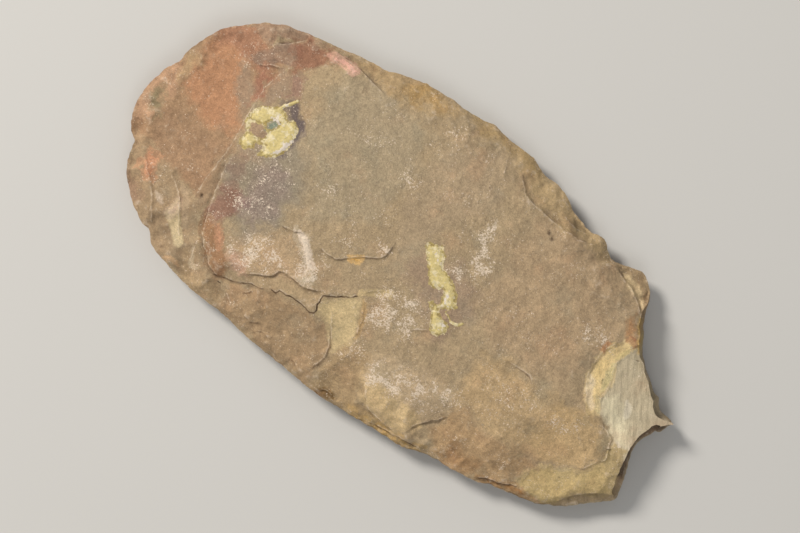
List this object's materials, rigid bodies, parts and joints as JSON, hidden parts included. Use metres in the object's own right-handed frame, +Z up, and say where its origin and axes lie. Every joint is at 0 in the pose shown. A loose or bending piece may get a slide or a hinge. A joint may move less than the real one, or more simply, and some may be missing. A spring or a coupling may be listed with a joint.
{
  "type": "flint spade blade",
  "caption": "Long oval blade of flaked stone, rounded at the digging end and broken off at the haft in a round notch and a slanted edge, lying on its flatter face.",
  "frame": {"origin": "middle of the bounding box at the height of the flat spot that the blade lies on", "axes": "+X along the blade from the digging edge to the broken haft end, +Y across the blade, +Z up out of the more worked face, which is the one the picture shows"},
  "size_m": [0.3134, 0.162, 0.027],
  "materials": {
    "stone": "matt weathered chert, mottled brown and tan, reddened at the digging end, with a fresh pale grey scar at the break"
  },
  "bodies": {
    "root": {"blade": "stone"}
  },
  "joints": []
}
